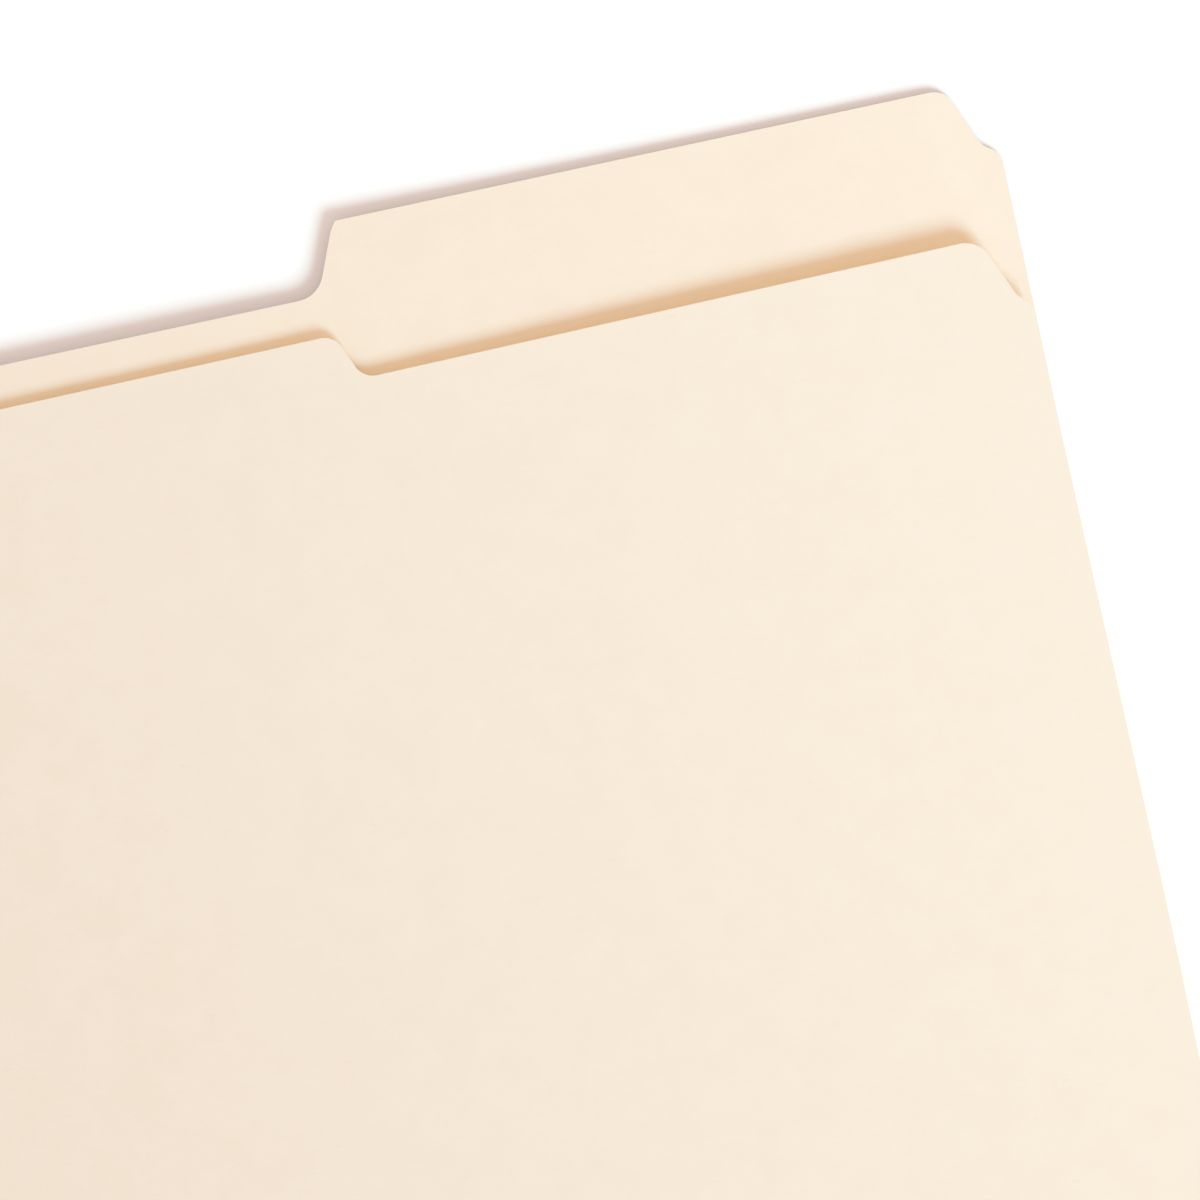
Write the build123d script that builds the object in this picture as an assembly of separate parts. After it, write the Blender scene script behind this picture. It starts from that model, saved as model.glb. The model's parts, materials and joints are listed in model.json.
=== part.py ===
from build123d import *
import math
import os

# A legal-size manila folder that lies closed on a table: one die-cut and scored sheet of card, folded once.
# It is modelled as the flat panels between its creases and as the creases. All sizes are in millimetres.
# X runs along the fold, Y from the fold to the tab, and Z is up. The origin is the middle of the footprint,
# on the table.

# The sheet
stock = 0.28  # thickness of the card
leaf_width = 374.65  # along the fold
rear_height = 241.3  # outside of the fold to the top of the tab

# The tab at the right end of the rear leaf
tab_height = 12.7
tab_cut = 124.9  # right edge of the sheet to the foot of the tab's left side
tab_inset = 2.5  # right edge of the sheet to the foot of the tab's right side
side_lean = 22.5  # degrees that a sloping side is off square
tab_corner = 4.0  # radius of the tab's upper right corner
foot_fillet = 5.5  # radius of the hollow at the foot of a sloping side
edge_corner = 2.0  # radius where a top edge meets the side of the sheet
nip_height = 1.6  # top of the tab to where its left side leans over further, up to a sharp corner
nip_lean = 36.0  # degrees off square there

# The cover, which steps down under the tab
cover_drop = 20.0  # top of the tab to the cover's top edge
undercut_from = 123.6  # right edge of the sheet to where the cover starts to step down
undercut_depth = 8.4
undercut_bend = 3.8  # radius of both bends of the step
undercut_corner = 5.0  # radius at the right end of the undercut
cover_inset = 1.9  # right edge of the sheet to the foot of the slope at that end

# The fold and the three scores beside it
fold_gap = 0.34  # between the leaves at the fold, pressed shut
fold_mouth = 100.0  # degrees of the bend that are open towards the inside
score_count = 3
score_pitch = 6.35  # from the fold to the first score, and from score to score
score_ridge = 0.17  # how far a score stands out on the inside
score_groove = 30.0  # degrees that a score's groove is open
crease_play = 0.03  # between a crease and the panel that turns on it

# How the folder lies: the cover stands a little open, and the rear leaf curls up towards the tab
rest_opening = 0.89  # degrees
curl_rise = 1.8
curl_length = 120.0  # top of the tab to where the rear leaf leaves the table

# Largest share of a sloping side that one of its bends may take
bend_share = 0.48

# Places that follow from the sizes
half_width = leaf_width / 2
tab_top = rear_height / 2
fold_inner = fold_gap / 2
fold_outer = fold_inner + stock
fold_y = fold_outer - rear_height / 2
fold_reach = fold_outer + crease_play
score_radius = stock + score_ridge
score_reach = score_radius + crease_play


def side_run(height, lean=side_lean):
    """Distance that a sloping side of that height goes across."""
    return height * math.tan(math.radians(lean))


def bend(radius, height):
    """A corner's radius, limited to its share of a sloping side of that height."""
    side = height / math.cos(math.radians(side_lean))
    half_turn = math.radians(90 - side_lean) / 2
    return min(radius, bend_share * side / math.tan(half_turn))


def right_slope(top, inset, corner):
    """Corners (x, y, radius) of a sloping right end, as the tab and the undercut have, from past the edge inwards."""
    foot_x = half_width - inset
    shoulder = top - tab_height
    return [
        (half_width + foot_fillet, shoulder, 0),
        (foot_x, shoulder, bend(foot_fillet, tab_height)),
        (foot_x - side_run(tab_height), top, bend(corner, tab_height)),
    ]


def die_cut(start, profile):
    """Plan of a leaf from its lower edge to a top profile given from right to left, trimmed at the right edge."""
    corners = [(half_width + foot_fillet, start, 0), *profile, (-half_width, start, 0)]
    outline = FilletPolyline(
        *[(x, y) for x, y, _ in corners],
        radius=[radius for _, _, radius in corners],
        close=True,
    )
    trim = Rectangle(leaf_width, 2 * rear_height)
    plan = make_face(outline) & trim
    top_right = plan.vertices().group_by(Axis.X)[-1].sort_by(Axis.Y)[-1]
    return fillet(top_right, edge_corner)


def along_fold(section):
    """A YZ section carried along the whole width of the sheet."""
    return extrude(Plane.YZ * section, half_width, both=True)


def rear_leaf():
    """The rear leaf with its tab: a flat sheet whose upper part curls up off the table. Its section runs on past
    the tab, and the plan trims it."""
    radius = (curl_length**2 + curl_rise**2) / (2 * curl_rise)
    sweep = math.degrees(math.asin((curl_length + tab_height) / radius))
    start = fold_y + fold_reach
    curl_start = tab_top - curl_length
    centre = (curl_start, radius)
    under = CenterArc(centre, radius, -90, sweep)
    over = CenterArc(centre, radius - stock, -90, sweep)
    section = make_face(
        [
            Line((start, 0), under @ 0),
            under,
            Line(under @ 1, over @ 1),
            over,
            Line(over @ 0, (start, stock)),
            Line((start, stock), (start, 0)),
        ]
    )
    shoulder = tab_top - tab_height
    tab_left = half_width - tab_cut
    nip_x = tab_left + side_run(tab_height - nip_height)
    plan = die_cut(
        start,
        [
            *right_slope(tab_top, tab_inset, tab_corner),
            (nip_x + side_run(nip_height, nip_lean), tab_top, 0),
            (nip_x, tab_top - nip_height, tab_corner),
            (tab_left, shoulder, bend(foot_fillet, tab_height)),
            (-half_width, shoulder, edge_corner),
        ],
    )
    prism = Pos(0, 0, -stock) * extrude(plan, curl_rise + 3 * stock)
    return along_fold(section) & prism


def main_fold():
    """The bend at the fold, centred on the fold's axis: a ring of card with its mouth towards the inside."""
    far = 2 * fold_outer
    spread = far * math.tan(math.radians(fold_mouth / 2))
    mouth = Polygon((0, 0), (far, -spread), (far, spread), align=None)
    return along_fold(Circle(fold_outer) - Circle(fold_inner) - mouth)


def gusset_strip(number):
    """A flat strip of the cover below a score, from the crease beneath it up to that score."""
    start = fold_reach if number == 1 else (number - 1) * score_pitch + score_reach
    end = number * score_pitch - score_radius
    return Pos(0, (start + end) / 2, fold_inner + stock / 2) * Box(leaf_width, end - start, stock)


def score_crease(number):
    """A pressed score: a round ridge on the inside, about the line on the outer face that the cover bends on,
    and a groove beside that line on the outside."""
    turn = math.radians(score_groove)
    lip = (score_radius * math.cos(turn), -score_radius * math.sin(turn))
    foot = (-math.sqrt(score_radius**2 - stock**2), -stock)
    ridge = ThreePointArc(lip, (0, -score_radius), foot)
    sides = Polyline(foot, (-score_radius, -stock), (-score_radius, 0), (0, 0), lip)
    return along_fold(Pos(number * score_pitch, fold_outer) * make_face([ridge, sides]))


def front_leaf():
    """The cover above the last score, with its top edge stepped down under the tab."""
    top = tab_top - cover_drop - fold_y
    undercut = top - undercut_depth
    step = half_width - undercut_from
    step_bend = bend(undercut_bend, undercut_depth)
    plan = die_cut(
        score_count * score_pitch + score_reach,
        [
            *right_slope(undercut, cover_inset, undercut_corner),
            (step + side_run(undercut_depth), undercut, step_bend),
            (step, top, step_bend),
            (-half_width, top, edge_corner),
        ],
    )
    return Pos(0, 0, fold_inner) * extrude(plan, stock)


# The fold, the scores and the cover are drawn shut, about the fold's axis, and are then turned to how they lie.
fold_axis = Pos(0, fold_y, fold_outer)
cover_frame = fold_axis * Rot(rest_opening, 0, 0)
pieces = {
    "rear_leaf": rear_leaf(),
    "main_fold": fold_axis * Rot(rest_opening / 2, 0, 0) * main_fold(),
    "front_leaf": cover_frame * front_leaf(),
}
for number in range(1, score_count + 1):
    pieces[f"gusset_strip_{number}"] = cover_frame * gusset_strip(number)
    pieces[f"score_crease_{number}"] = cover_frame * score_crease(number)

os.makedirs("parts", exist_ok=True)
for name, piece in pieces.items():
    piece.label = name
    export_step(piece, f"parts/{name}.step")
    print(name, round(piece.volume, 2), "mm3")
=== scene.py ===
# %% [markdown]
# # A manila folder, closed on a white table
#
# A manila folder is one sheet of card. It is die-cut, pressed with three score lines and folded once, so that
# a cover lies on a taller rear leaf with a tab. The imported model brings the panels, the creases and the
# joints. This lesson dresses each of them with a thin curved sheet worked out in numpy, and gives all of them
# one finish.

# %% Load the frame
import json
import math

import bpy
import numpy as np
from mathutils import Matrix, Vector


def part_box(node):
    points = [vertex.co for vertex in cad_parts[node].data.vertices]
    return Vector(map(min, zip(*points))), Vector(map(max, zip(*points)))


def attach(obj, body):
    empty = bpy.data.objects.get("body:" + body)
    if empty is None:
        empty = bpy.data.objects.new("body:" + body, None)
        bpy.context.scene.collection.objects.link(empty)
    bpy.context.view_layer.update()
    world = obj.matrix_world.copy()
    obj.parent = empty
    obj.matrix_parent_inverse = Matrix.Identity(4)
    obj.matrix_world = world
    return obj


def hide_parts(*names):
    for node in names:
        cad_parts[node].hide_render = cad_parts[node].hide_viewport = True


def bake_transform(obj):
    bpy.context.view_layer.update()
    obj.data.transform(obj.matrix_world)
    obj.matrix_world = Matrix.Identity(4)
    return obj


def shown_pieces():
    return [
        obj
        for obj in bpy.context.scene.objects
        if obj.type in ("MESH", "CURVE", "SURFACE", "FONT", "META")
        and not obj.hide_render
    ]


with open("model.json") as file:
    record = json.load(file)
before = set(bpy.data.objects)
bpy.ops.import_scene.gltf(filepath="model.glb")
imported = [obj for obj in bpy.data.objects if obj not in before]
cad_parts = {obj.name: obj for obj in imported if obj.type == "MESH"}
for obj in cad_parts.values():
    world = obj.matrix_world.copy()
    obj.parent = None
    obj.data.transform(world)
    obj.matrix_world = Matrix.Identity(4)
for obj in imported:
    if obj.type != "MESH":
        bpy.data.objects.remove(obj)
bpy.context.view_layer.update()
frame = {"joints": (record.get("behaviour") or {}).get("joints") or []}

# %% [markdown]
# ## Measure the frame
#
# The joints say where the sheet folds: the fold's axis lies between the two leaves, and each score's axis
# lies on the cover's outer face. Two unit vectors follow from them, one up the cover and one out of it, so
# the cover can be drawn flat and still lie at the small angle that the closed folder has. Reading these from
# the frame is safer than typing them again, because a new pack then moves the sheets as well.

# %% Measure the frame
MM = 0.001
card = 0.28 * MM  # thickness of the sheet
score_count = 3


def unit(vector):
    """A vector divided by its length."""
    return vector / np.linalg.norm(vector)


joint_at = {joint["name"]: np.array(joint["pos_m"]) for joint in frame["joints"]}
fold_axis = joint_at["cover_open"]
score_axes = [joint_at[f"score_{number}_bend"] for number in range(1, score_count + 1)]
up_cover = unit(score_axes[-1] - score_axes[0])
off_cover = np.array([0.0, -up_cover[2], up_cover[1]])
score_pitch = (score_axes[0] - fold_axis) @ up_cover
fold_outer = (score_axes[0] - fold_axis) @ off_cover
_, rear_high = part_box("rear_leaf")
half_width = rear_high.x
tab_top = rear_high.y
print(f"fold radius {fold_outer / MM:.3f} mm, score pitch {score_pitch / MM:.3f} mm")
print(f"width {2 * half_width / MM:.2f} mm, top of the tab at {tab_top / MM:.2f} mm")

# %% [markdown]
# ## The die-cut edges
#
# A steel rule cuts the sheet's edge: straight runs that meet in round bends. Each top edge is therefore a
# short list of corners with a radius each, and every bend becomes an arc. A curve object with bevelled
# corners could do this too, but an array of points lets the next steps read the edge's height at any column
# of a grid.

# %% Round the corners of a line
ARC_STEPS = 20


def rounded_edge(corners):
    """The line through corners (x, y, radius). At each inner corner an arc leaves the first run
    radius * tan(turn / 2) before the corner and meets the second run as far after it. Its points are
    centre + radius * (forward * sin(a) - side * cos(a))."""
    runs = [np.array([corners[0][:2]])]
    for before, corner, after in zip(corners, corners[1:], corners[2:]):
        at = np.array(corner[:2])
        forward = unit(at - before[:2])
        onward = unit(np.array(after[:2]) - at)
        turn = math.atan2(forward[0] * onward[1] - forward[1] * onward[0], forward @ onward)
        side = math.copysign(1, turn) * np.array([-forward[1], forward[0]])
        start = at - forward * corner[2] * math.tan(abs(turn) / 2)
        centre = start + side * corner[2]
        angle = np.linspace(0, abs(turn), ARC_STEPS)[:, None]
        runs.append(centre + corner[2] * (forward * np.sin(angle) - side * np.cos(angle)))
    runs.append(np.array([corners[-1][:2]]))
    return np.vstack(runs)


# %% Slope a right end
tab_height = 12.7 * MM
side_lean = math.tan(math.radians(22.5))  # run of a sloping side for each unit of height
right_fillet = 3.6 * MM  # hollow at the foot of a sloping right end


def right_slope(top, height, inset, corner):
    """Corners of a sloping right end, as the tab and the undercut have, from its top to past the sheet's
    edge: the slope goes side_lean * height across, down to a foot that lies inset from the edge."""
    foot = half_width - inset
    return [
        (foot - side_lean * height, top, corner),
        (foot, top - height, right_fillet),
        (half_width + right_fillet, top - height, 0),
    ]


print(f"a slope as high as the tab goes {side_lean * tab_height / MM:.2f} mm across")

# %% Draw the rear leaf's top edge
tab_cut = 124.9 * MM  # right edge of the sheet to the foot of the tab's left side
tab_inset = 2.45 * MM  # right edge of the sheet to the foot of the tab's right side
right_height = 12.45 * MM  # top of the tab to that foot
tab_corner = 4.0 * MM
foot_fillet = 5.5 * MM  # hollow at the foot of the tab's left side
nip_height = 1.6 * MM  # the tab's left side leans over further this far below its top
nip_lean = math.tan(math.radians(36.0))
nip_corner = 0.25 * MM

shoulder = tab_top - tab_height
tab_foot = half_width - tab_cut
nip_foot = tab_foot + side_lean * (tab_height - nip_height)
rear_edge = rounded_edge(
    [
        (-half_width, shoulder, 0),
        (tab_foot, shoulder, foot_fillet),
        (nip_foot, tab_top - nip_height, tab_corner),
        (nip_foot + nip_lean * nip_height, tab_top, nip_corner),
        *right_slope(tab_top, right_height, tab_inset, tab_corner),
    ]
)
print(f"rear edge: {len(rear_edge)} points")

# %% Draw the cover's top edge
cover_drop = 20.0 * MM  # top of the tab to the cover's top edge
undercut_from = 123.6 * MM  # right edge of the sheet to where the cover steps down under the tab
undercut_depth = 8.4 * MM
undercut_slant = 0.2 * MM  # how far the undercut's left end is too low, and its right end too high
undercut_bend = 3.8 * MM  # radius of both bends of the step
undercut_corner = 5.0 * MM  # radius at the undercut's right end
cover_inset = 1.75 * MM  # right edge of the sheet to the foot of the slope there

cover_top = tab_top - cover_drop - fold_axis[1]
undercut = cover_top - undercut_depth
step = half_width - undercut_from
cover_edge = rounded_edge(
    [
        (-half_width, cover_top, 0),
        (step, cover_top, undercut_bend),
        (step + side_lean * undercut_depth, undercut - undercut_slant, undercut_bend),
        *right_slope(undercut + undercut_slant, tab_height, cover_inset, undercut_corner),
    ]
)
print(f"cover edge: {len(cover_edge)} points")

# %% [markdown]
# ## The grid of a leaf
#
# A leaf is a grid: columns run from the fold to the top edge, and rows run along the fold. The columns stand
# closer together where the edge slopes or bends, so its shape stays crisp, and wider apart elsewhere, so the
# mesh stays light. A triangulated cut-out would have long thin faces that don't curl well, while a grid bends
# evenly.

# %% Place the columns
edge_corner = 2.0 * MM  # radius where a top edge meets the side of the sheet
corner_columns = 9
column_step = 2.4 * MM
fine_step = 0.28 * MM
least_step = fine_step / 8  # columns closer than this become one
slope_margin = 8.0 * MM  # how far the close columns go on past a slope


def leaf_columns(slopes):
    """x of a leaf's columns: even over the width, close together over each (from, to) in slopes, and at both
    ends half_width - edge_corner * (1 - sin(a)) for even angles a, which follows a round corner."""
    even = np.linspace(-half_width, half_width, round(2 * half_width / column_step))
    close = [np.arange(start, end, fine_step) for start, end in slopes]
    bunched = half_width - edge_corner * (1 - np.sin(np.linspace(0, math.pi / 2, corner_columns)))
    columns = np.sort(np.concatenate([even, *close, bunched, -bunched]))
    apart = np.append(True, np.diff(columns) > least_step)
    columns = columns[apart & (np.abs(columns) <= half_width)]
    columns[-1] = half_width
    return columns


right_end = (half_width - tab_inset - side_lean * tab_height - slope_margin, half_width)
print(f"close columns at the right end from x = {right_end[0] / MM:.1f} mm")

# %% Place the rows
leaf_rows = 84
row_bias = 1.35  # above 1, rows gather towards the top edge


def edge_height(columns, edge):
    """Height of a top edge at each column, less the drop of the round corners at the sheet's two sides:
    radius - sqrt(radius^2 - past^2), with past how far the column is beyond the corner's start."""
    past = np.clip(np.abs(columns) - (half_width - edge_corner), 0, edge_corner)
    drop = edge_corner - np.sqrt(edge_corner**2 - past**2)
    return np.interp(columns, edge[:, 0], edge[:, 1]) - drop


def leaf_grid(edge, low, slopes):
    """(x, y, nearness) of a leaf from its lower line to its top edge: y = low + (height - low) * share, with
    share = 1 - (1 - t)^row_bias for even t, and nearness = exp(-distance to the nearest cut edge /
    edge_corner)."""
    columns = leaf_columns(slopes)
    height = edge_height(columns, edge)
    share = 1 - (1 - np.linspace(0, 1, leaf_rows)[:, None]) ** row_bias
    y = low + (height - low) * share
    x = np.broadcast_to(columns, y.shape)
    slant = np.cos(np.arctan(np.gradient(height, columns)))
    distance = np.minimum((height - y) * slant, half_width - np.abs(x))
    return x, y, np.exp(-distance / edge_corner)


tab_left = (tab_foot - slope_margin, nip_foot + slope_margin)
rear_x, rear_y, rear_near = leaf_grid(rear_edge, fold_axis[1], [tab_left, right_end])
print(f"rear leaf: {rear_x.shape[0]} rows by {rear_x.shape[1]} columns")

# %% [markdown]
# ## From two grids to a sheet
#
# Card has two faces and a cut edge. A Solidify modifier would thicken a single surface, but computing both
# faces keeps control of the edge: a ring of points half way between them stands out by a hair, because a cut
# edge is slightly round and not a knife-sharp box. The faces are shaded smooth and the rim flat, and the
# border between them is marked sharp. Without that mark the renderer would also round off the shading of the
# faces' last row.

# %% Go round a sheet
rim_swell = 0.005 * MM  # how far the middle of a cut edge stands out


def border_loop(number):
    """The numbers of a grid's border points, once round: along the first row, the last column, the last row
    and the first column."""
    return np.concatenate([number[0, :-1], number[:-1, -1], number[-1, :0:-1], number[:0:-1, 0]])


def rim_ring(outer, inner, is_cut):
    """Points half way between two borders. On cut sides they stand out by rim_swell, along
    (direction of the border) x (inner to outer)."""
    middle = (outer + inner) / 2
    outward = np.cross(np.roll(middle, -1, 0) - np.roll(middle, 1, 0), outer - inner)
    outward /= np.linalg.norm(outward, axis=1)[:, None]
    return middle + outward * (rim_swell * is_cut)[:, None]


def edge_keys(ends):
    """One number for each pair of point numbers, the same in either order: larger * 2^32 + smaller."""
    ends = ends.astype(np.int64)
    return ends.max(1) * 2**32 + ends.min(1)


def mark_sharp(mesh, borders):
    """Marks those edges of a mesh as sharp whose key is among the keys of the listed pairs of points."""
    ends = np.empty(2 * len(mesh.edges), np.int32)
    mesh.edges.foreach_get("vertices", ends)
    on_border = np.isin(edge_keys(ends.reshape(-1, 2)), edge_keys(borders))
    mesh.edges.foreach_set("use_edge_sharp", on_border)


# %% Close a sheet
OUTSIDE, INSIDE, CUT = 0, 1, 2  # material slots of every sheet


def sheet_faces(number):
    """Faces of a closed sheet in three groups: four neighbours of the grid for each face of the outer side,
    the same turned round for the inner side, and two rows of rim faces, from the outer border to the ring
    and from there to the inner border."""
    corners = [number[:-1, :-1], number[:-1, 1:], number[1:, 1:], number[1:, :-1]]
    quads = np.stack(corners, -1).reshape(-1, 4)
    loop = border_loop(number)
    loop_next = np.roll(loop, -1)
    ring = 2 * number.size + np.arange(len(loop))
    ring_next = np.roll(ring, -1)
    upper_rim = np.stack([loop_next, loop, ring, ring_next], -1)
    lower_rim = np.stack([ring_next, ring, loop + number.size, loop_next + number.size], -1)
    return quads, quads[:, ::-1] + number.size, np.concatenate([upper_rim, lower_rim])


def card_sheet(name, outer, inner, near, crease, top_cut, slots=(OUTSIDE, INSIDE)):
    """A closed sheet between the point grids outer[row, column] and inner[row, column], with a ring of points
    along the middle of its rim. near and crease are stored for each point, for the finish. top_cut says if
    the last row is a cut edge, and slots which side of the folder each grid shows."""
    rows, columns = outer.shape[:2]
    number = np.arange(rows * columns).reshape(rows, columns)
    loop = border_loop(number)
    sides = [(columns - 1, False), (rows - 1, True), (columns - 1, top_cut), (rows - 1, True)]
    is_cut = np.concatenate([np.full(length, cut) for length, cut in sides])
    outer = outer.reshape(-1, 3)
    inner = inner.reshape(-1, 3)
    points = np.vstack([outer, inner, rim_ring(outer[loop], inner[loop], is_cut)])
    faces = sheet_faces(number)
    face_slots = np.repeat([*slots, CUT], [len(group) for group in faces]).astype(np.int32)

    mesh = bpy.data.meshes.new(name)
    mesh.from_pydata(points.tolist(), [], np.concatenate(faces).tolist())
    mesh.polygons.foreach_set("use_smooth", face_slots != CUT)
    mesh.polygons.foreach_set("material_index", face_slots)
    border = np.stack([loop, np.roll(loop, -1)], -1)
    mark_sharp(mesh, np.concatenate([border, border + number.size]))
    for label, values in (("edge_near", near), ("crease", crease)):
        flat = np.broadcast_to(values, (rows, columns)).ravel()
        stored = mesh.attributes.new(label, "FLOAT", "POINT")
        stored.data.foreach_set("value", np.concatenate([flat, flat, flat[loop]]).astype(np.float32))
    mesh.update()
    sheet = bpy.data.objects.new(name, mesh)
    bpy.context.scene.collection.objects.link(sheet)
    print(f"{name}: {len(mesh.vertices)} points, {len(mesh.polygons)} faces")
    return sheet


# %% [markdown]
# ## The rear leaf
#
# The rear leaf lies on the table along the fold and lifts off it towards the tab, because card keeps some of
# the curl of its roll. It lifts more in the middle of the folder than at the right end, so its shadow on the
# table narrows along the tab. Up the leaf the lift is an S-shaped step, so the tab itself is level again.
# Along the fold it falls like the right half of a bell curve, and the last stretch sinks a little more. Two
# very long waves lie on top, as card is never quite flat.

# %% Bend by steps and waves
wave_height = 0.06 * MM
wave_length = 150.0 * MM
first_share = 0.6  # of the height, the rest is the second wave's
first_slant = 0.4
second_slant = 0.5
second_pace = 1.7  # how much closer the second wave's crests are
second_start = 1.0  # radians


def smooth_step(start, end, value):
    """0 before start, 1 after end, and t^2 * (3 - 2t) in between."""
    t = np.clip((value - start) / (end - start), 0, 1)
    return t * t * (3 - 2 * t)


def long_waves(x, y):
    """A sum of two sine waves that cross at an angle, at most 1 high: share * sin(turn * (x + slant * y)) and
    the rest * sin(pace * turn * (slant * x - y) + start)."""
    turn = 2 * math.pi / wave_length
    first = np.sin(turn * (x + first_slant * y))
    second = np.sin(second_pace * turn * (second_slant * x - y) + second_start)
    return first_share * first + (1 - first_share) * second


# %% Make the rear leaf
curl_length = 120.0 * MM  # top of the tab to where the leaf leaves the table
lift_left = 2.35 * MM  # off the table at the tab's top, in the middle of the folder and at its right end
lift_right = 0.68 * MM
twist_from = 35.0 * MM  # where the lift starts to fall, to the right of the folder's middle
twist_length = 60.0 * MM
end_sink = 0.45 * MM  # the last stretch at the right end lies this much lower
end_length = 15.0 * MM
crease_reach = 1.0 * MM  # how far the wear of the fold goes on into the leaves
fold_wear = 0.5  # wear of the leaves right beside the fold, as a share of the fold's own


def rear_lift(x, y):
    """Height of the rear leaf's underside above the table: a smooth step up the leaf, times the lift at the
    tab's top. That falls from lift_left to lift_right as 1 / (1 + (distance past twist_from /
    twist_length)^2) and by end_sink at the right end, and long waves are added to it."""
    fall = 1 / (1 + (np.clip(x - twist_from, 0, None) / twist_length) ** 2)
    lift = lift_right + (lift_left - lift_right) * fall
    lift = lift - end_sink * smooth_step(half_width - end_length, half_width, x)
    return smooth_step(tab_top - curl_length, tab_top, y) * (lift + wave_height * long_waves(x, y))


rear_under = np.stack([rear_x, rear_y, rear_lift(rear_x, rear_y)], -1)
rear_over = rear_under + np.array([0, 0, card])
rear_crease = fold_wear * np.exp(-((rear_y - fold_axis[1]) / crease_reach))
rear_sheet = card_sheet(
    "rear_sheet", rear_over, rear_under, rear_near, rear_crease, top_cut=True, slots=(INSIDE, OUTSIDE)
)
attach(rear_sheet, "rear")
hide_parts("rear_leaf")

# %% [markdown]
# ## The fold
#
# At the fold the sheet turns back over itself in a tight half ring. It is the card's own thickness carried
# round the fold's axis, from under the rear leaf to the top of the cover. When the cover opens, the half ring
# has to unroll, so it isn't fixed to one body.

# %% Make the fold
fold_rows = 17
crease_columns = np.linspace(-half_width, half_width, num=160)
end_near = np.exp(-(half_width - np.abs(crease_columns)) / edge_corner)
cover_angle = math.atan2(up_cover[2], up_cover[1])
straight_down = 1.5 * math.pi
straight_up = 0.5 * math.pi


def fold_ring(radius):
    """Points at (x, axis + radius * (cos(a), sin(a))), with a from straight down, past the back, to the
    cover's own up direction."""
    angle = np.linspace(straight_down, straight_up + cover_angle, fold_rows)[:, None]
    x = np.broadcast_to(crease_columns, (fold_rows, len(crease_columns)))
    y = np.broadcast_to(fold_axis[1] + radius * np.cos(angle), x.shape)
    z = np.broadcast_to(fold_axis[2] + radius * np.sin(angle), x.shape)
    return np.stack([x, y, z], -1)


fold_back = fold_ring(fold_outer)
fold_inside = fold_ring(fold_outer - card)
fold_bend = card_sheet("fold_bend", fold_back, fold_inside, end_near, crease=1.0, top_cut=False)
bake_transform(fold_bend)
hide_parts("main_fold")

# %% [markdown]
# ## The scored strips
#
# Above the fold, three score lines let the folder take a thicker stack of paper. A score is a shallow furrow
# pressed into the outer face, which stands out as a soft ridge inside. The strips between them stay flat. A
# groove in a bump map would be easier, but it would vanish in the outline. Each strip rides on its own body,
# and each score is a narrow band between two strips that isn't fixed to either body.

# %% Draw in the cover's own plane
def on_cover(x, v, w):
    """A point of the cover: the fold's axis plus x along the fold, v up the cover and w out of it."""
    along = np.asarray(x)[..., None] * [1, 0, 0]
    up = np.asarray(v)[..., None] * up_cover
    out = np.asarray(w)[..., None] * off_cover
    return fold_axis + along + up + out


def flat_band(start, end, rows, dip):
    """(outer points, inner points, v) of a band of the cover between two distances from the fold. Both faces
    sink by dip(v), which presses a furrow outside and raises a ridge inside."""
    v, x = np.meshgrid(np.linspace(start, end, rows), crease_columns, indexing="ij")
    sunk = dip(v)
    return on_cover(x, v, fold_outer - sunk), on_cover(x, v, fold_outer - card - sunk), v


print(f"the closed cover stands {math.degrees(cover_angle):.2f} degrees open")

# %% Make the strips and scores
bodies = ["strip_1", "strip_2", "strip_3", "cover"]
fold_clear = 0.02 * MM  # keeps the first strip off the rear leaf when the folder lies open
score_half = 0.62 * MM  # half the width of a score's band
score_depth = 0.15 * MM
score_wear = 0.8  # wear in the middle of a score, as a share of the fold's
strip_rows = 9
score_rows = 13

for index in range(score_count):
    number = index + 1
    line = number * score_pitch
    low = fold_clear if index == 0 else index * score_pitch + score_half
    strip_outer, strip_inner, v = flat_band(low, line - score_half, strip_rows, np.zeros_like)
    strip_crease = fold_wear * np.exp(-v / crease_reach)
    strip = card_sheet(
        f"strip_sheet_{number}", strip_outer, strip_inner, end_near, strip_crease, top_cut=False
    )
    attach(strip, bodies[index])
    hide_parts(f"gusset_strip_{number}")

    def furrow(v):
        """score_depth * cos^2 of the distance from the score's line, a quarter turn at the band's sides."""
        return score_depth * np.cos((v - line) / score_half * math.pi / 2) ** 2

    band_outer, band_inner, v = flat_band(line - score_half, line + score_half, score_rows, furrow)
    band_crease = score_wear * furrow(v) / score_depth
    band = card_sheet(f"score_band_{number}", band_outer, band_inner, end_near, band_crease, top_cut=False)
    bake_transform(band)
    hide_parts(f"score_crease_{number}")

# %% [markdown]
# ## The cover
#
# The cover is cut lower than the rear leaf, and lower still under the tab, so that a label on the tab stays
# in view. Its free edge stands one to three millimetres off the rear leaf. It was also folded a touch askew,
# so its top edge runs up to the right and its right edge crosses the rear leaf's. All of these are small
# shifts of the flat leaf. They grow from nothing at the last score, so the cover still meets the strips.

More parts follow.
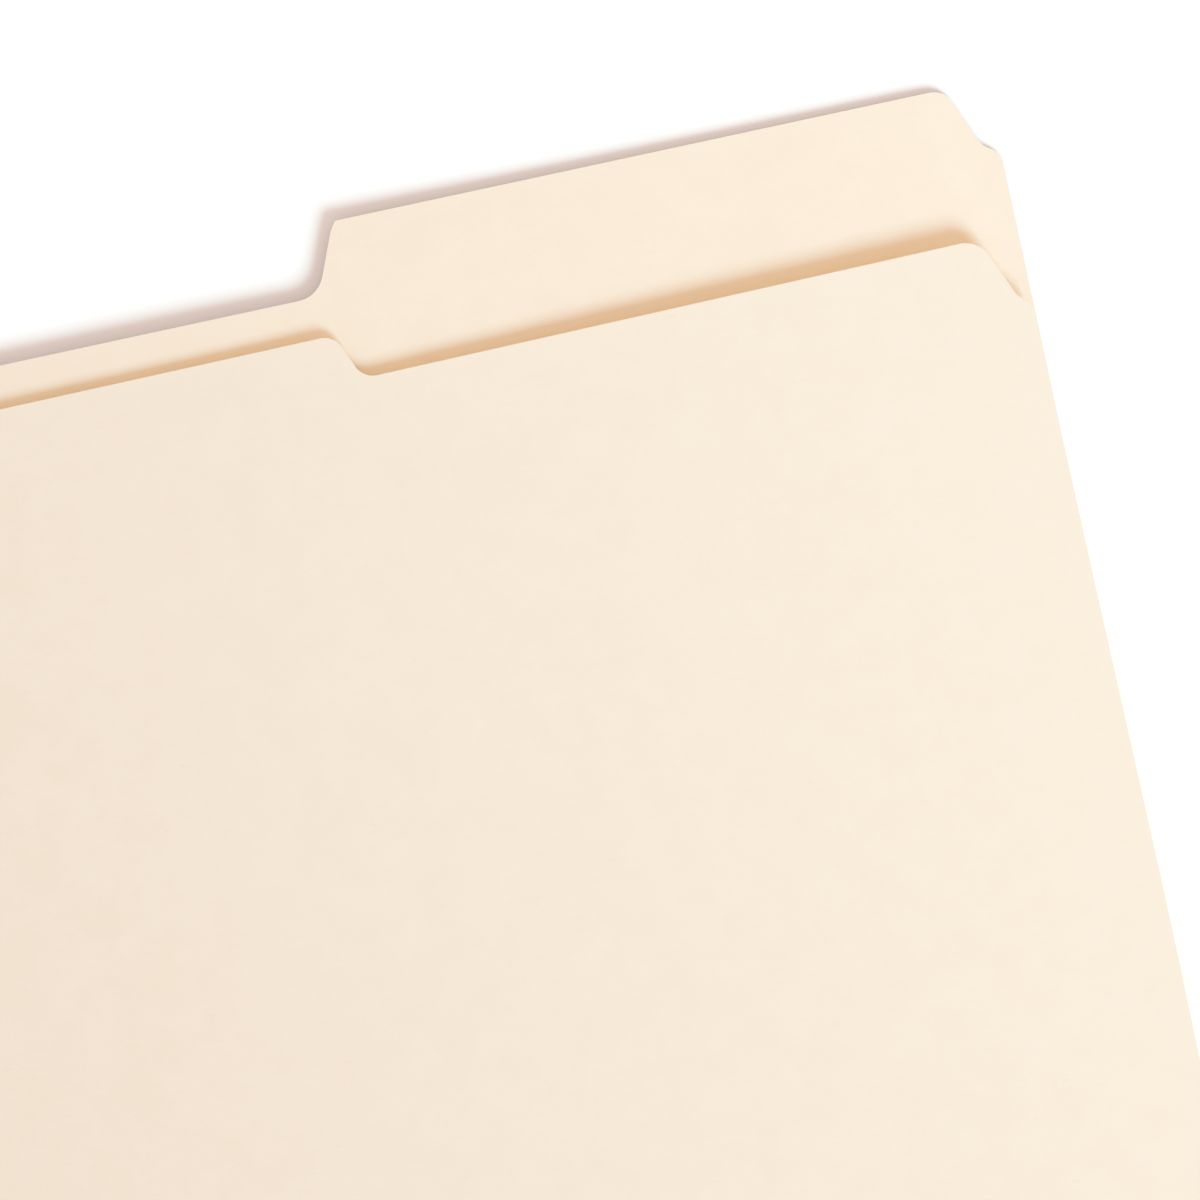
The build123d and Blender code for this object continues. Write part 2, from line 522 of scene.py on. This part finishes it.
# %% Shape the cover
skew = math.tan(math.radians(0.3))  # rise of the top edge for each unit to the right
skew_pivot = 84.0 * MM  # x at which the top edge is as high as it was cut
side_skew = math.tan(math.radians(0.5))  # lean of the right edge
side_grown = 0.4  # share of the way up the cover where its right edge has its whole lean
sides_cross = 145.0 * MM  # from the fold to where the right edges of the two leaves cross
bow_left = -0.12 * MM  # how far the free edge stands out of the flat cover, at the left and at the right
bow_right = 0.32 * MM
bow_from = 85.0 * MM  # x at which the bow and the lean start to change towards the right
wave_shear = 2.0  # leans the cover's waves, so that they differ from the rear leaf's
cover_low = score_count * score_pitch + score_half


def grown(v):
    """Share of the way from the last score to the cover's top: (v - low) / (top - low)."""
    return (v - cover_low) / (cover_top - cover_low)


def cover_bow(x, v):
    """How far the cover stands out of its flat plane: grown^2 times a smooth change from bow_left to
    bow_right plus long waves."""
    bow = bow_left + (bow_right - bow_left) * smooth_step(bow_from, half_width, x)
    return grown(v) ** 2 * (bow + wave_height * long_waves(x + wave_shear * v, v))


cover_step = (step - slope_margin, step + slope_margin + side_lean * undercut_depth)
cover_x, cover_v, cover_near = leaf_grid(cover_edge, cover_low, [cover_step, right_end])
cover_w = fold_outer + cover_bow(cover_x, cover_v)
side_shift = side_skew * (sides_cross - cover_v) * smooth_step(0.0, side_grown, grown(cover_v))
cover_x = cover_x + side_shift * smooth_step(bow_from, half_width - slope_margin, cover_x)
cover_v = cover_v + skew * (cover_x - skew_pivot) * grown(cover_v)
print(f"cover: {cover_x.shape[0]} rows by {cover_x.shape[1]} columns")

# %% Make the cover
cover_over = on_cover(cover_x, cover_v, cover_w)
cover_under = on_cover(cover_x, cover_v, cover_w - card)
cover_sheet = card_sheet("cover_sheet", cover_over, cover_under, cover_near, crease=0.0, top_cut=True)
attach(cover_sheet, "cover")
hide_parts("front_leaf")
gap = cover_under[-1, :, 2] - card - rear_lift(cover_under[-1, :, 0], cover_under[-1, :, 1])
print(f"gap between the leaves at the cover's top: {gap.min() / MM:.2f} to {gap.max() / MM:.2f} mm")

# %% [markdown]
# ## The finish: manila card
#
# Manila card is uncoated: pale buff, matte, with fibres too fine to see from a distance, a faint cloudiness
# and a few darker flecks. A flat colour would look like plastic up close, so all three are mixed in, each of
# them only faint. All pieces sit at the origin, so Object coordinates run on across their seams and the sheet
# looks like one. The inner face is a touch warmer than the outer one. The cut edge is duller than both and
# paler, like the rubbed creases. Part of that paleness is painted light, so that the thin edge, where it
# faces away from the lamps, doesn't read as a dark line.

# %% Helpers for materials
def add_node(tree, kind, **values):
    """A new shader node with the named inputs set; an underscore in a name stands for a space."""
    node = tree.nodes.new(kind)
    for name, value in values.items():
        node.inputs[name.replace("_", " ")].default_value = value
    return node


def texture(tree, kind, place, size, **values):
    """A texture node that is read at a place socket, with features of about that size: scale = 1 / size."""
    pattern = add_node(tree, kind, Scale=1 / size, **values)
    tree.links.new(place, pattern.inputs["Vector"])
    return pattern


def stored_value(tree, label):
    """What a sheet's points store under that label, as a socket."""
    attribute = tree.nodes.new("ShaderNodeAttribute")
    attribute.attribute_name = label
    return attribute.outputs["Fac"]


def tint(tree, below, fac, colour):
    """below * (1 - fac) + colour * fac, with fac a socket and below a socket or a plain colour."""
    mix = tree.nodes.new("ShaderNodeMix")
    mix.data_type = "RGBA"
    tree.links.new(fac, mix.inputs["Factor"])
    lower, upper = [socket for socket in mix.inputs if socket.type == "RGBA"]
    if isinstance(below, tuple):
        lower.default_value = (*below, 1)
    else:
        tree.links.new(below, lower)
    upper.default_value = (*colour, 1)
    return next(socket for socket in mix.outputs if socket.type == "RGBA")


def spread(tree, value, found, wanted):
    """A value socket mapped in a straight line from the range found to the range wanted, and held at its
    ends."""
    ranged = add_node(
        tree, "ShaderNodeMapRange", From_Min=found[0], From_Max=found[1], To_Min=wanted[0], To_Max=wanted[1]
    )
    tree.links.new(value, ranged.inputs["Value"])
    return ranged.outputs["Result"]


# %% Colour the card
fleck_brown = (0.62, 0.47, 0.31)
# paler colour of rubbed card at creases and beside cut edges; on the cut edge itself it is partly painted
# light
pale_for_wear_and_light = (0.95, 0.87, 0.76)
cloud_size = 7.0 * MM
cloud_range = (0.35, 0.65)  # of the noise, from no cloud to a full one
cloud_share = 0.25  # of the deeper colour in a full cloud
fibre_size = 0.5 * MM
fibre_squeeze = (0.22, 1.0, 1.0)  # below 1, a pattern is drawn out along that axis
fibre_turn = (0, 0, math.radians(20))
fibre_range = (0.45, 0.8)
fibre_share = 0.30
fleck_spacing = 5.0 * MM
fleck_range = (0.015, 0.04)  # from a fleck's dark middle to its end, in units of the spacing
fleck_share = 0.10
wear_and_light_range = (0.2, 1.0)  # of the nearness to a cut edge, from none of the paler colour to all of it
crease_wear = 0.5  # share of the worn colour along the fold


def card_colour(tree, place, plain, deep, wear_and_painted_light):
    """A colour socket: the plain colour, tinted with the deeper one by clouds and fibres, with brown by
    flecks, and with the paler colour beside cut edges and along creases, where card gets rubbed. The share
    given for the cut edge itself is partly painted light."""
    combed = add_node(tree, "ShaderNodeMapping", Scale=fibre_squeeze, Rotation=fibre_turn)
    tree.links.new(place, combed.inputs["Vector"])
    drawn_out = combed.outputs["Vector"]
    clouds = texture(tree, "ShaderNodeTexNoise", place, cloud_size, Detail=3.0, Roughness=0.55)
    fibres = texture(tree, "ShaderNodeTexNoise", drawn_out, fibre_size, Detail=2.0, Distortion=1.2)
    flecks = texture(tree, "ShaderNodeTexVoronoi", drawn_out, fleck_spacing, Randomness=1.0)
    near = stored_value(tree, "edge_near")
    crease = stored_value(tree, "crease")
    colour = tint(tree, plain, spread(tree, clouds.outputs["Fac"], cloud_range, (0.0, cloud_share)), deep)
    colour = tint(tree, colour, spread(tree, fibres.outputs["Fac"], fibre_range, (0.0, fibre_share)), deep)
    fleck = spread(tree, flecks.outputs["Distance"], fleck_range, (fleck_share, 0.0))
    colour = tint(tree, colour, fleck, fleck_brown)
    colour = tint(tree, colour, spread(tree, near, wear_and_light_range, (0.0, wear_and_painted_light)), pale_for_wear_and_light)
    return tint(tree, colour, spread(tree, crease, (0.0, 1.0), (0.0, crease_wear)), pale_for_wear_and_light)


# %% Mix the card's finish
buff = (0.945, 0.848, 0.72)
buff_deep = (0.91, 0.793, 0.65)
inner_buff = (0.955, 0.845, 0.695)
inner_deep = (0.92, 0.79, 0.63)
tooth_size = 0.18 * MM
tooth_height = 0.012 * MM
tooth_strength = 0.35
tooth_range = (0.3, 0.7)  # of the noise, from the smoothest to the roughest spot


def manila(name, plain, deep, wear_and_painted_light, sheen, rough):
    """Card with a fine tooth: one noise is its height and, mapped to the range rough, its roughness.
    wear_and_painted_light is the share of the paler colour at a cut edge: rubbed card, and on the cut edge
    itself partly painted light."""
    material = bpy.data.materials.new(name)
    material.use_nodes = True
    tree = material.node_tree
    shader = tree.nodes["Principled BSDF"]
    shader.inputs["Specular IOR Level"].default_value = sheen
    place = tree.nodes.new("ShaderNodeTexCoord").outputs["Object"]
    tree.links.new(card_colour(tree, place, plain, deep, wear_and_painted_light), shader.inputs["Base Color"])
    tooth = texture(tree, "ShaderNodeTexNoise", place, tooth_size, Detail=3.0, Roughness=0.6)
    tree.links.new(spread(tree, tooth.outputs["Fac"], tooth_range, rough), shader.inputs["Roughness"])
    bump = add_node(tree, "ShaderNodeBump", Strength=tooth_strength, Distance=tooth_height)
    tree.links.new(tooth.outputs["Fac"], bump.inputs["Height"])
    tree.links.new(bump.outputs["Normal"], shader.inputs["Normal"])
    return material


finishes = {
    OUTSIDE: manila("manila_outer_face", buff, buff_deep, wear_and_painted_light=0.15, sheen=0.15, rough=(0.68, 0.82)),
    INSIDE: manila("manila_inner_face", inner_buff, inner_deep, wear_and_painted_light=0.15, sheen=0.15, rough=(0.72, 0.86)),
    # the cut edge takes a large share of the paler colour: partly rubbed card, partly painted light on an
    # edge that faces away from the lamps
    CUT: manila("manila_cut_edge", buff, buff_deep, wear_and_painted_light=0.6, sheen=0.0, rough=(0.84, 0.96)),
}
sheets = [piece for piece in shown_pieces() if piece.type == "MESH"]
for piece in sheets:
    for side in (OUTSIDE, INSIDE, CUT):
        piece.data.materials.append(finishes[side])
print(f"{len(sheets)} sheets share", ", ".join(finish.name for finish in finishes.values()))

# %% [markdown]
# ## Floor
#
# The floor is a plain white sheet. The camera sees it a little brighter than the light makes it, so that it
# comes out white even beside the folder, where the folder keeps some of the room's light off it, and its
# shadows stay. What it throws back onto the folder is kept lower, because a real table is far smaller than
# this floor and lights the card from below much less.

# %% Lay the floor
floor_half = 4.0
floor_drop = 0.05 * MM

floor_mesh = bpy.data.meshes.new("floor")
corner_x, corner_y = np.meshgrid([-floor_half, floor_half], [-floor_half, floor_half])
floor_points = np.stack([corner_x.ravel(), corner_y.ravel(), np.full(corner_x.size, -floor_drop)], -1)
floor_mesh.from_pydata(floor_points.tolist(), [], [(0, 1, 3, 2)])
floor = bpy.data.objects.new("floor", floor_mesh)
bpy.context.scene.collection.objects.link(floor)
print(f"floor {2 * floor_half} m wide, {floor_drop / MM} mm below the folder")

# %% Whiten the floor
floor_grey = 0.87  # as the camera sees it
floor_bounce = 0.5  # as it lights the folder
floor_lift = (0.23, 0.205, 0.195)  # glow that only the camera sees


def seen_directly(tree):
    """1 for rays from the camera and for those it sees by reflection or through glass, 0 for light on the
    object: the largest of three marks of a ray's path."""
    path = tree.nodes.new("ShaderNodeLightPath")
    seen = path.outputs["Is Camera Ray"]
    for name in ("Is Glossy Ray", "Is Transmission Ray"):
        either = tree.nodes.new("ShaderNodeMath")
        either.operation = "MAXIMUM"
        tree.links.new(seen, either.inputs[0])
        tree.links.new(path.outputs[name], either.inputs[1])
        seen = either.outputs["Value"]
    return seen


pale = bpy.data.materials.new("pale_floor")
pale.use_nodes = True
pale_tree = pale.node_tree
pale_tree.nodes.remove(pale_tree.nodes["Principled BSDF"])
seen = seen_directly(pale_tree)
floor_colour = tint(pale_tree, (floor_bounce,) * 3, seen, (floor_grey,) * 3)
matte = pale_tree.nodes.new("ShaderNodeBsdfDiffuse")
pale_tree.links.new(floor_colour, matte.inputs["Color"])
glow = add_node(pale_tree, "ShaderNodeEmission", Color=(*floor_lift, 1))
pale_tree.links.new(seen, glow.inputs["Strength"])
both = pale_tree.nodes.new("ShaderNodeAddShader")
pale_tree.links.new(matte.outputs["BSDF"], both.inputs[0])
pale_tree.links.new(glow.outputs["Emission"], both.inputs[1])
pale_tree.links.new(both.outputs["Shader"], pale_tree.nodes["Material Output"].inputs["Surface"])
floor_mesh.materials.append(pale)
print(f"floor: grey {floor_grey} to the camera, {floor_bounce} to the folder")

# %% [markdown]
# ## Light
#
# One broad soft box stands to the lower right of the picture, with a grid in front of it, and is aimed past
# the folder to the upper right, so the light falls off towards the lower left. A dim warm room fills the
# shadows. The two add up to a level of about one, at which a surface renders in about its own colour.
#
# Card lets some light through, mostly the red part, and spreads it, which makes its shadows on itself honey
# coloured. Following the light inside a sheet that is a quarter of a millimetre thick is slow and grainy.
# Instead the rear leaf has two lamps in one place, and the card doesn't block the warm one. The cover casts a
# shadow but takes none, and a cover that tilts towards so low a lamp would burn out, so its own lamp stands
# higher. The floor has a far lamp, which lights it evenly.

# %% Hang a lamp
picture_middle = np.array([100.17, 44.29, 0.0]) * MM
key_way = unit(np.array([0.51, -0.86]))  # from the picture's middle to the lamps, seen from above


def from_middle(height):
    """The unit vector from the picture's middle to a lamp at that angle above the floor: key_way times the
    angle's cosine, and its sine upwards."""
    return np.array([*(key_way * math.cos(height)), math.sin(height)])


def hang(lamp, level, place, way, lit):
    """Hangs a lamp of the given colour level at a place, turned to shine along way, for the listed objects
    only."""
    lamp.color = [part / max(level) for part in level]
    holder = bpy.data.objects.new(lamp.name, lamp)
    holder.location = place
    holder.rotation_euler = Vector(way).to_track_quat("-Z", "Y").to_euler()
    holder.visible_camera = False
    bpy.context.scene.collection.objects.link(holder)
    holder.light_linking.receiver_collection = bpy.data.collections.new(f"lit_by_{lamp.name}")
    for piece in lit:
        holder.light_linking.receiver_collection.objects.link(piece)
    print(f"{lamp.name}: energy {lamp.energy:.2f}, on {len(lit)} objects")


# %% Build a soft box
key_distance = 3.0
key_size = 1.3
key_spread = math.radians(60.0)
wide_share = 0.855  # light that is left from a lamp this wide, compared with a small one


def soft_box(name, level, height, aim, lit, blocked=True):
    """A square lamp with a grid, aimed past the picture's middle, where it gives a level sheet this much
    light: energy = level * pi^2 * distance^2 / sin(height) / gain / wide_share, with off the angle between
    the aim and the middle and gain = cos(off) * (tan(spread / 2) - tan(off)) / (tan(spread / 2) -
    spread / 2)."""
    place = picture_middle + key_distance * from_middle(height)
    way = picture_middle + [*aim, 0.0] - place
    off = math.acos(unit(way) @ -from_middle(height))
    grid_edge = math.tan(key_spread / 2)
    gain = math.cos(off) * (grid_edge - math.tan(off)) / (grid_edge - key_spread / 2)
    lamp = bpy.data.lights.new(name, "AREA")
    lamp.size = key_size
    lamp.spread = key_spread
    lamp.use_shadow = blocked
    lamp.energy = max(level) * math.pi**2 * key_distance**2 / math.sin(height) / gain / wide_share
    hang(lamp, level, place, way, lit)


# %% Light the folder
key_level = (0.172, 0.333, 0.465)  # red, green and blue light on a level sheet
through_level = (0.176, 0.141, 0.077)  # what comes through the card
rear_key_height = math.radians(37.7)
rear_key_aim = (0.61, 0.53)  # metres past the picture's middle
cover_level = (0.333, 0.454, 0.51)
cover_key_height = math.radians(70.0)
cover_key_aim = (0.765, 0.246)

front_sheets = [piece for piece in sheets if piece is not rear_sheet]
soft_box("key_on_rear_leaf", key_level, rear_key_height, rear_key_aim, [rear_sheet])
soft_box("key_through_card", through_level, rear_key_height, rear_key_aim, [rear_sheet], blocked=False)
soft_box("key_on_cover", cover_level, cover_key_height, cover_key_aim, front_sheets)

# %% Light the floor
floor_level = (0.31, 0.488, 0.55)
floor_key_height = math.radians(31.2)
floor_key_width = math.radians(29.0)  # how wide the lamp looks from the floor

floor_key = bpy.data.lights.new("key_on_floor", "SUN")
floor_key.angle = floor_key_width
floor_key.energy = max(floor_level) * math.pi / math.sin(floor_key_height)
hang(floor_key, floor_level, picture_middle, -from_middle(floor_key_height), [floor])

# %% Light the room
room_level = (0.645, 0.505, 0.44)

room = bpy.data.worlds.new("room")
bpy.context.scene.world = room
room.use_nodes = True
room_tree = room.node_tree
room_light = room_tree.nodes["Background"]
room_light.inputs["Color"].default_value = (*room_level, 1)
white = add_node(room_tree, "ShaderNodeBackground", Color=(1, 1, 1, 1))
either = room_tree.nodes.new("ShaderNodeMixShader")
room_tree.links.new(seen_directly(room_tree), either.inputs["Fac"])
room_tree.links.new(room_light.outputs["Background"], either.inputs[1])
room_tree.links.new(white.outputs["Background"], either.inputs[2])
room_tree.links.new(either.outputs["Shader"], room_tree.nodes["World Output"].inputs["Surface"])
print(f"room at {room_level}")

# %% [markdown]
# ## Camera
#
# The photograph looks straight down on the folder's upper right corner, with the folder turned a little
# anticlockwise. Turning the camera the other way gives the same picture and leaves the folder square in its
# frame. The lens follows from the width of table in view and the camera's height above it.

# %% Place the camera
camera_height = 1.0
picture_width = 215.2 * MM
picture_turn = math.radians(-12.2)

camera_data = bpy.data.cameras.new("camera")
camera_data.lens = camera_data.sensor_width * camera_height / picture_width
camera = bpy.data.objects.new("camera", camera_data)
camera.location = picture_middle + np.array([0, 0, camera_height])
camera.rotation_euler = (0, 0, picture_turn)
bpy.context.scene.collection.objects.link(camera)
bpy.context.scene.camera = camera
bpy.context.scene.view_settings.view_transform = "Standard"
print(f"lens {camera_data.lens:.1f} mm at {camera_height} m")
